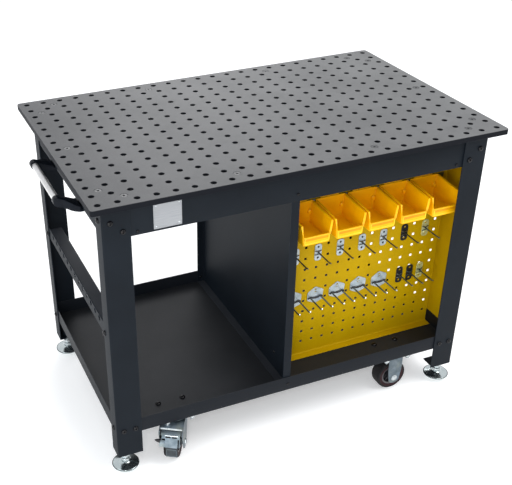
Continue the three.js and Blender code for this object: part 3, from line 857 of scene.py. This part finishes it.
def plate_bolts():
    """Hexagon lock nuts, washers and bolt ends below a caster's plate."""
    collar = lathe([(5.0, -2.6), (6.4, -2.6), (7.6, -1.6), (8.0, 0.2), (5.0, 0.2)], 32, close=True)
    washer = lathe([(5.2, -1.6), (8.9, -1.6), (9.1, 0), (5.2, 0)], 32, close=True)
    parts = []
    for sx, sy in CORNERS.values():
        place = at(sx * BOLT_X, sy * BOLT_Y, CASTER_PLATE[0])
        below = place @ at(0, 0, -10)
        parts += [moved(washer, place), moved(nut(16, 8.4, 5.0), below @ turned(sx * 11 + 15))]
        parts += [moved(collar, below), moved(thread(5.0, -17.5, 2, 1.5), place)]
    return [(shape, BRIGHT) for shape in parts]


def cheeks(outline, inner, outer, edge, holes=()):
    """Sheets standing on both sides of the wheel."""
    spans = [sorted((side * inner, side * outer)) for side in (-1, 1)]
    return [(standing(plate(outline, low, high, edge, holes)), ZINC) for low, high in spans]


def rigid_casters():
    """Fork bent down from its mounting plate, and the wheel."""
    leg = arc((0, AXLE_Z), 21, 205, 335, 18)
    leg = rounded(leg + [(25, 84, 16), (25, 140.5, 0.5), (-25, 140.5, 0.5), (-25, 84, 16)])
    parts = [(mounting_plate(), ZINC)] + cheeks(leg, *CHEEK, 0.8)
    for side in (-1, 1):
        fillet = [(side * y, z) for y, z in ((33.2, 139.8), (33.2, 135.6), (32.0, 138.4), (29.4, 139.8))]
        parts.append((sideways(plate(fillet, -24, 24, 0.1)), ZINC))
    parts += axle_bolt(0) + plate_bolts()
    for end, sy in ENDS.items():
        place = at(CASTER_X, sy * CASTER_Y)
        piece(f"rigid_caster_{end}", parts, f"rigid_fork_{end}", place=place)
        piece(f"rigid_tyre_{end}", caster_wheel(), f"rigid_wheel_{end}",
              f"wheel_rigid_{end}", place @ at(0, 0, AXLE_Z))


def round_axle(*stations):
    """(forward, height) points from (distance, degrees) stations round a swivel caster's axle."""
    polar = [(distance, math.radians(degrees)) for distance, degrees in stations]
    return [(TRAIL + distance * math.cos(a), AXLE_Z + distance * math.sin(a)) for distance, a in polar]


def swivel_head():
    """Mounting plate with its round housing, race, kingpin and bolts."""
    housing = [(7, 131), (42.5, 131), (43.6, 131.8), (44, 133.5), (44, 138.4), (43, 139.8), (7, 139.8)]
    race = [(7, 2.1), (31, 2.1), (33, 1.8), (33, 1.0), (31.5, 0.3), (7, 0.3)]
    kingpin = [(5.9, 8.6), (5.9, -6), (9.5, -6.2), (9.5, -9.5), (7.5, -11.8), (1, -12)]
    parts = [(mounting_plate(), ZINC), (lathe(housing, 72, close=True), ZINC)]
    parts.append((moved(lathe(race, 64, close=True), at(0, 0, CROWN)), TREAD))
    parts.append((moved(lathe(kingpin, 24), at(0, 0, CROWN)), BRIGHT))
    return parts + plate_bolts()


def swivel_fork():
    """Two cheeks, a sloping roof between them, a disc under the race and a front lip in bright zinc as a
    painted highlight.
    """
    outline = arc((TRAIL + 1, AXLE_Z - 1), 20.5, 200, 340, 18)
    outline += [(71, 78, 14), (77, 102, 8), (75, 114, 4), (62, 119, 2), (40, CROWN, 4), (-14, CROWN, 3)]
    outline += [(-12, CROWN - 10, 6), (4, 74, 14)]
    under = CROWN - 3
    roof = [(-24, under), (39, under, 6), (61, 116, 1), (62, 119, 1), (40, CROWN, 6), (-24, CROWN)]
    disc = [(6.7, -5.5), (30, -5.5), (34, -4), (36, -1.2), (35.2, 0), (6.7, 0)]
    lip = [(60.6, 118.8), (62.6, 118.4), (63.4, 113.5), (62.2, 113.0), (61.4, 116.2), (60.0, 116.6)]
    parts = cheeks(rounded(outline), *CHEEK, 0.8)
    parts.append((standing(plate(rounded(roof), -33.6, 33.6, 0.5)), ZINC))
    parts.append((lathe([(r, CROWN + h) for r, h in disc], 64, close=True), ZINC))
    # the lip takes the bright zinc as a painted highlight along the crown's front edge
    parts.append((standing(plate(lip, -32.8, 32.8, 0.3)), BRIGHT))
    return parts + axle_bolt(TRAIL)


def brake_pedal():
    """Bent pedal in front of the wheel: top, lip, face, side wing with its tab, toe and two arms."""
    sheet = 2.3
    bend, knee = (57.5, 43), (57, 17)
    strips = (
        (-31, 29, ZINC, (60.9, 70), (60.4, 61), (60.1, 55), (59.6, 53)),
        (-27.5, 27.5, ZINC, (60.6, 54.5), (60.4, 51.5), (58.9, 47.5), bend),
        (-17, 22, ZINC, (58.2, 45), (56.7, 37), (56.2, 27), knee),
        (-33, -16, ZINC, (57.4, 33), (56.4, 26), (57, 17.5)),
        (-33, -16, ZINC, (60, 38), (58.4, 35), (57.4, 32.5)),
        (-13, 22, DARK_TOE_ZINC, knee, (56.4, 6), (57, -7), (57.6, -15), (58, -18)),
    )
    parts = []
    for left, right, material, *stations in strips:
        inner = [(distance - sheet, degrees) for distance, degrees in reversed(stations)]
        outline = round_axle(*stations, *inner)
        parts.append((standing(plate(outline, left, right, 0.6)), material))
    # a strip of bright zinc over the bend of the lip: a painted highlight
    rim = round_axle((60.6, 54), (61.6, 52.4), (60.9, 50.6), (59.6, 50.6))
    parts.append((standing(plate(rim, -18, 23, 0.25)), BRIGHT))
    mouth = round_axle((59.9, 49.5), (58.8, 45.5), (57.4, 45.5), (58.4, 49.5))
    for left, right in ((-15.5, -0.5), (3.5, 18.5)):
        parts.append((standing(plate(mouth, left, right, 0.2)), TREAD))
    arm = round_axle((60.5, 53), bend, (54.7, 17), *[(11, a) for a in range(-60, -241, -15)])
    parts += cheeks(arm, 25, 27.5, 0.5, [circle(6.5, 24, (TRAIL, AXLE_Z))])
    angles = [-14.5 + 25.5 * k / 4 for k in range(5)]
    line = round_axle(*[(57.0 + 0.0009 * (a - 6) ** 2, a) for a in angles])
    border = [(x, -10, z) for x, z in line] + [(x, 19, z) for x, z in reversed(line)]
    parts.append((tube(border, 0.9, 8, closed=True), ZINC))
    tab = lathe([(6.4, 0), (6.0, 4), (4.6, 9), (2.6, 14), (1.0, 17)], 20)
    x, z = round_axle((58.4, 35.5))[0]
    parts.append((facing(tab, x, -30, z, (0, -1, 0.12)), BLACK))
    return parts


def swivel_casters():
    """Casters at the handle's end, each heading the way its CAD wheel trails."""
    for end, sy in ENDS.items():
        hub = middle(f"swivel_wheel_{end}") - SHIFT
        heading = math.degrees(math.atan2(hub.y - sy * CASTER_Y, hub.x + CASTER_X))
        fixed = at(-CASTER_X, sy * CASTER_Y)
        headed = fixed @ turned(heading)
        axle = headed @ at(TRAIL, 0, AXLE_Z)
        piece(f"caster_plate_{end}", swivel_head(), f"swivel_plate_{end}", place=fixed)
        piece(f"caster_fork_{end}", swivel_fork(), f"swivel_fork_{end}", f"swivel_{end}", headed)
        piece(f"caster_tyre_{end}", caster_wheel(), f"swivel_wheel_{end}",
              f"wheel_swivel_{end}", axle)
        piece(f"brake_{end}", brake_pedal(), f"brake_pedal_{end}", f"pedal_{end}", headed)


# ---- storage ----


def bin_front_y(z):
    """Depth of the bin's front at a height: it leans out towards the top."""
    return BIN_FRONT - BIN_LEAN * (z - BIN_LOW) / (BIN_HIGH - BIN_LOW)


def bin_outline(z, shrink):
    """Bin's outline at a height, shrunk by shrink, with stations along its sides."""
    half = 43 + 9 * (z - BIN_LOW) / (BIN_HIGH - BIN_LOW) - shrink
    front = bin_front_y(z) + shrink
    back = BIN_BACK - shrink
    corner = max(8 - shrink, 1.0)
    loop = []
    for x, y, start in QUARTERS:
        cy = back - corner if y > 0 else front + corner
        loop += arc((x * (half - corner), cy), corner, start, start + 90, 6)
        if y > 0 and x < 0:
            loop += [(-half, back + (front - back) * k) for k in BIN_STATIONS]
        if y < 0 and x > 0:
            loop += [(half, front + (back - front) * (1 - k)) for k in reversed(BIN_STATIONS)]
    return loop


def bin_rim(y):
    """Height of the rim at a depth: low lip, steep corner, then nearly level."""
    low, corner, corner_rise, slope = 656, 8, 37, 8 / 119
    depth = y - bin_front_y(BIN_HIGH)
    if depth < 0.6:
        return low
    rise = min(1.0, (depth - 0.6) / (corner - 0.6))
    return low + corner_rise * rise * rise * (3 - 2 * rise) + slope * max(0.0, depth - corner)


def bin_shell():
    """Thin-walled bin with a turned-out rim and a step in its side walls."""
    top = bin_outline(BIN_HIGH, 0)
    rims = [bin_rim(y) for _, y in top]
    flange = [BIN_FLANGE if y < -206 else 1.2 for _, y in top]
    step = [1.5 if -282 < y < -206 else 0.0 for _, y in top]
    inside = [f + BIN_WALL + extra for f, extra in zip(flange, step)]

    def ring(heights, shrinks):
        return [(*bin_outline(z, s)[i], z) for i, (z, s) in enumerate(zip(heights, shrinks))]

    def same(value):
        return [value] * len(top)

    def below(drop):
        return [rim - drop for rim in rims]

    def climb(low, drop, k):
        """Heights a share k / BIN_STEPS of the way from low to a drop below the rim."""
        return [low + (rim - drop - low) * k / BIN_STEPS for rim in rims]

    def grown(k):
        """Share of the full draft of the walls, reached part of the way up."""
        return min(1.0, 0.35 + k / BIN_STEPS)

    rings = [ring(same(BIN_LOW), same(3)), ring(same(BIN_LOW + 0.8), same(0.9))]
    for k in range(BIN_STEPS + 1):
        rings.append(ring(climb(BIN_LOW + 3, 4.6, k), [f * grown(k) for f in flange]))
    rings.append(ring(below(3.9), [0.75 * f for f in flange]))
    rings.append(ring(below(3.5), same(0.2)))
    rings.append(ring(below(0.6), same(0.0)))
    rings.append(ring(below(0.0), same(0.7)))
    rings.append(ring(below(0.0), [f + BIN_WALL - 0.6 for f in flange]))
    rings.append(ring(below(0.6), [f + BIN_WALL for f in flange]))
    floor = BIN_LOW + BIN_WALL
    for k in range(BIN_STEPS, -1, -1):
        shrinks = [BIN_WALL + (s - BIN_WALL) * grown(k) for s in inside]
        rings.append(ring(climb(floor + 3, 1.4, k), shrinks))
    rings.append(ring(same(floor + 0.8), same(BIN_WALL + 0.9)))
    rings.append(ring(same(floor), same(BIN_WALL + 3)))
    return loft(rings)


def on_bin_front(x, z, proud):
    """Point on the bin's sloping front face, or proud of it."""
    return (x, bin_front_y(z) + BIN_FLANGE - proud, z)


def label_bar(left, right, low, high):
    """One raised bar of the label frame, with chamfered edges."""
    rings = []
    for proud, ease in ((-0.6, 0.0), (2.2, 0.0), (2.8, 0.6)):
        x0, x1, z0, z1 = left + ease, right - ease, low + ease, high - ease
        rings.append([on_bin_front(x, z, proud) for x, z in ((x0, z0), (x1, z0), (x1, z1), (x0, z1))])
    return loft(rings)


def bin_fittings():
    """Label frame in a lighter painted highlight with a dark sheet of painted shade in its well on the front,
    bosses at the back, and the hook over the rail.
    """
    bars = ((-38, 38, 632.5, 635.6), (-40, 40, 651.2, 655.6), (-40, -36.8, 633, 654), (36.8, 40, 633, 654))
    # the bars take the lighter material as a painted highlight
    parts = [(label_bar(*bar), LABEL_FRAME_HIGHLIGHT) for bar in bars]
    # a darker sheet in the recess: painted shade
    well = rectangle(-37, 37, 635.4, 651.4)
    parts.append((loft([[on_bin_front(x, z, proud) for x, z in well] for proud in (-0.6, 0.5)]), LABEL_WELL_SHADE))
    for side in (-1, 1):
        rings = []
        for y, radius in ((-203.4, 6), (-210.5, 5.2), (-211.5, 4.2)):
            loop = circle(radius, 6, turn=math.pi / 6)
            rings.append([(side * (36.5 + x), y, 668 + 1.5 * z) for x, z in loop])
        parts.append((loft(rings), BIN))
    back, lip, inside, top, under, tip = -199.9, -196, -197.4, BIN_HIGH, 701.4, 692.5
    hook = [(back, top), (lip, top, 0.8), (lip, tip), (inside, tip), (inside, under), (back, under)]
    parts.append((sideways(plate(rounded(hook), -30, 30, 0.2)), BIN))
    return parts


def bins():
    """A row of bins, each riding on a body of its own."""
    parts = [(bin_shell(), BIN)] + bin_fittings()
    for n in range(1, BIN_COUNT + 1):
        place = at(BIN_X + BIN_PITCH * (n - 1))
        piece(f"bin_shell_{n}", parts, f"bin_{n}", f"hanging_bin_{n}", place, 35)


def single_hook(name, node, x, z, sheet, rod, slot):
    """Long rounded plate with two holes, two wire staples and one rod whose tip turns up."""
    outline = rectangle(-12, 12, -29, 29, 11, 8)
    holes = [circle(3.3, 24, (0, 19)), circle(3.6, 24, (0, -18.5))]
    face = standing(plate(outline, HOOK_FACE, HOOK_BACK, 0.5, holes))

    def wire(points, radius, sides):
        return tube([(px, HOOK_FACE + py, pz) for px, py, pz in points], radius, sides)

    prong = wire([(0, 1, 0), (0, -60, 0), (0, -70, 0.6), (0, -75.2, 2.6)], 2.5, 14)
    staple = wire([(-10.5, -1.2, 6), (-4, -2, 4.2), (0, -2.6, 3.4), (4, -2, 4.2), (10.5, -1.2, 6)], 1.5, 10)
    lower = wire([(-10, -1.2, -7.5), (0, -1.9, -6.2), (10, -1.2, -7.5)], 1.3, 10)
    parts = [(face, sheet), (prong, rod), (staple, rod), (lower, rod)]
    if sheet is PLATE_ZINC:
        rivet = lathe([(3.0, -1.6), (3.0, 0.3), (2.2, 0.8), (0.5, 1.0)], 16)
        parts += [(facing(rivet, 0, HOOK_FACE, height, (0, -1, 0)), BLACK_WIRE) for height in (19, -18.5)]
    piece(name, parts, node, place=at(x, 0, z))


def double_hook(name, node, x, z):
    """Six-sided plate with a wire bar and two prongs whose tips turn up."""
    outline = rounded([(-28, -16, 5), (0, -30, 4), (25.5, -21, 5), (28, 15, 5), (0, 30, 5), (-28, 12, 5)])
    holes = [circle(3.0, 24, (0, 20)), rectangle(-4, 4, 9.5, 12.5, 1.4, 4)]
    face = standing(plate(outline, HOOK_FACE, HOOK_BACK, 0.5, holes))
    half = [(20, -2.6, -6), (16, -2.8, -5.6), (8, -2.8, -8.6)]
    bar = [(-25, -1.8, -9)] + [(-px, py, pz) for px, py, pz in half] + [(0, -3, -9.4)]
    bar += half[::-1] + [(24.5, -1.8, -9)]
    bar = tube([(px, HOOK_FACE + py, pz) for px, py, pz in bar], 2.3, 10)
    knob = lathe([(3.2, -1), (3.4, 1.5), (2.6, 3.6), (0.8, 4.2)], 16)
    knob = facing(knob, 0, HOOK_FACE, -9.4, (0, -1, 0))
    parts = [(face, PLATE_ZINC), (bar, BLACK_WIRE), (knob, BLACK_WIRE)]
    prong = [(1, -7), (-58, -7), (-68, -6.6), (-73, -4.6), (-75.4, -2)]
    tip = [(-73.6, -4.4), (-75.6, -1.6)]
    for px in (-18, 18):
        for line, radius, material in ((prong, 2.5, ZINC), (tip, 2.9, BRIGHT)):
            path = [(px, HOOK_FACE + py, pz) for py, pz in line]
            parts.append((tube(path, radius, 14), material))
    piece(name, parts, node, place=at(x, 0, z))


def hooks():
    """A row of long hooks over a row of double ones, and three more beside those."""
    plated = (PLATE_ZINC, DARK_STEEL, "zinc")
    clear = (CLEAR, ZINC, "clear_plastic")
    upper = [plated] * 5 + [(BLACK, DARK_STEEL, "black_plastic"), clear]
    places = [HOOK_X + 2 * PEG_PITCH * i for i in range(len(upper))]
    for n, finish in enumerate(upper, 1):
        single_hook(f"peg_hook_{n}", f"hook_upper_{n}", places[n - 1], 513.5, *finish)
    for n in range(1, 6):
        double_hook(f"peg_fork_{n}", f"hook_double_{n}", places[n - 1], 361)
    lower = [(BLACK, ZINC, "black_plastic")] * 2 + [clear]
    for n, finish in enumerate(lower, 1):
        single_hook(f"peg_hook_low_{n}", f"hook_lower_{n}", 400 + 38 * n, 358, *finish)


def badge():
    """Blank plate with a raised border and four rivets."""
    left, right, low, high = -437, -360, 793, 866
    back = -APRON_FACE - 0.1
    front = back - 1

    def outline(margin, radius):
        return rectangle(left + margin, right - margin, low + margin, high - margin, radius)

    face = plate(outline(0, 2), back - 1.1, back, 0.3)
    border = plate(outline(2, 2), front - 0.5, front, 0.15, [outline(3.6, 1.5)])
    parts = [(standing(face), BADGE), (standing(border), BADGE)]
    rivet = lathe([(2.6, -0.2), (2.5, 0.4), (1.8, 1.0), (0.4, 1.2)], 20)
    for x in (left + 7, right - 7):
        for z in (low + 7, high - 7):
            parts.append((facing(rivet, x, front, z, (0, -1, 0)), BRIGHT))
    piece("blank_badge", parts)


table_top()
legs()
folded_sheets()
divider()
side_rail()
pegboard()
handle()
feet()
rigid_casters()
swivel_casters()
bins()
hooks()
badge()
frame_screws()

# ---- stage, light and camera ----


def stage_floor():
    """Plain pale floor, lit a little from within so that it stays white."""
    look = Look("studio_floor")
    mottle = look.noise(3.0, 3, 0.5)
    look.set(Base_Color=look.mix(mottle, (0.86, 0.86, 0.86), (0.9, 0.9, 0.9)), Roughness=0.75)
    look.set(Emission_Color=(1.0, 1.0, 1.0), Emission_Strength=0.28)
    mesh = bpy.data.meshes.new("floor")
    half = 14.0
    mesh.from_pydata(level(rectangle(-half, half, -half, half), 0), [], [(0, 1, 2, 3)])
    mesh.materials.append(look.material)
    floor = bpy.data.objects.new("floor", mesh)
    bpy.context.scene.collection.objects.link(floor)


def area_light(name, place, aim, size, power, colour=(1, 1, 1)):
    data = bpy.data.lights.new(name, "AREA")
    data.shape = "DISK"
    data.size = size
    data.energy = power
    data.color = colour
    lamp = bpy.data.objects.new(name, data)
    lamp.location = place
    lamp.rotation_mode = "QUATERNION"
    lamp.rotation_quaternion = (Vector(aim) - Vector(place)).to_track_quat("-Z", "Y")
    bpy.context.scene.collection.objects.link(lamp)


def lighting():
    world = bpy.data.worlds.new("studio")
    world.use_nodes = True
    background = world.node_tree.nodes["Background"].inputs
    background["Color"].default_value = (0.95, 0.97, 1.0, 1.0)
    background["Strength"].default_value = 0.85
    bpy.context.scene.world = world
    bpy.context.scene.view_settings.view_transform = "Standard"
    area_light("key", (1.6, -1.4, 3.4), (0.1, 0, 0.6), 2.2, 60)
    area_light("front", (-1.8, -3.0, 0.9), (0.35, -0.1, 0.45), 1.6, 32)
    area_light("fill", (-3.2, -1.2, 2.0), (0, 0, 0.5), 2.4, 32, (0.86, 0.94, 1.0))
    area_light("back", (0.8, 3.0, 2.8), (0, 0, 0.8), 2.0, 40)
    area_light("glint", (-1.6, -2.8, 2.7), (0, 0, 0.5), 0.4, 18)


def camera():
    """Camera in front of the left end and above the top, its axes as unit vectors."""
    right = Vector((0.92606, -0.37705, -0.01566))
    down = Vector((-0.21309, -0.48820, -0.84632))
    forward = Vector((0.31146, 0.78708, -0.53245))
    data = bpy.data.cameras.new("camera")
    data.sensor_width = 36
    data.lens = 63.90
    data.shift_x = 0.1325
    data.shift_y = 0.0715
    data.clip_end = 100
    view = bpy.data.objects.new("camera", data)
    axes = Matrix((right, -down, -forward)).transposed()
    place = Vector((-1.09897, -2.24073, 1.90838)) + SHIFT * MM
    view.matrix_world = Matrix.Translation(place) @ axes.to_4x4()
    bpy.context.scene.collection.objects.link(view)
    bpy.context.scene.camera = view


stage_floor()
lighting()
camera()
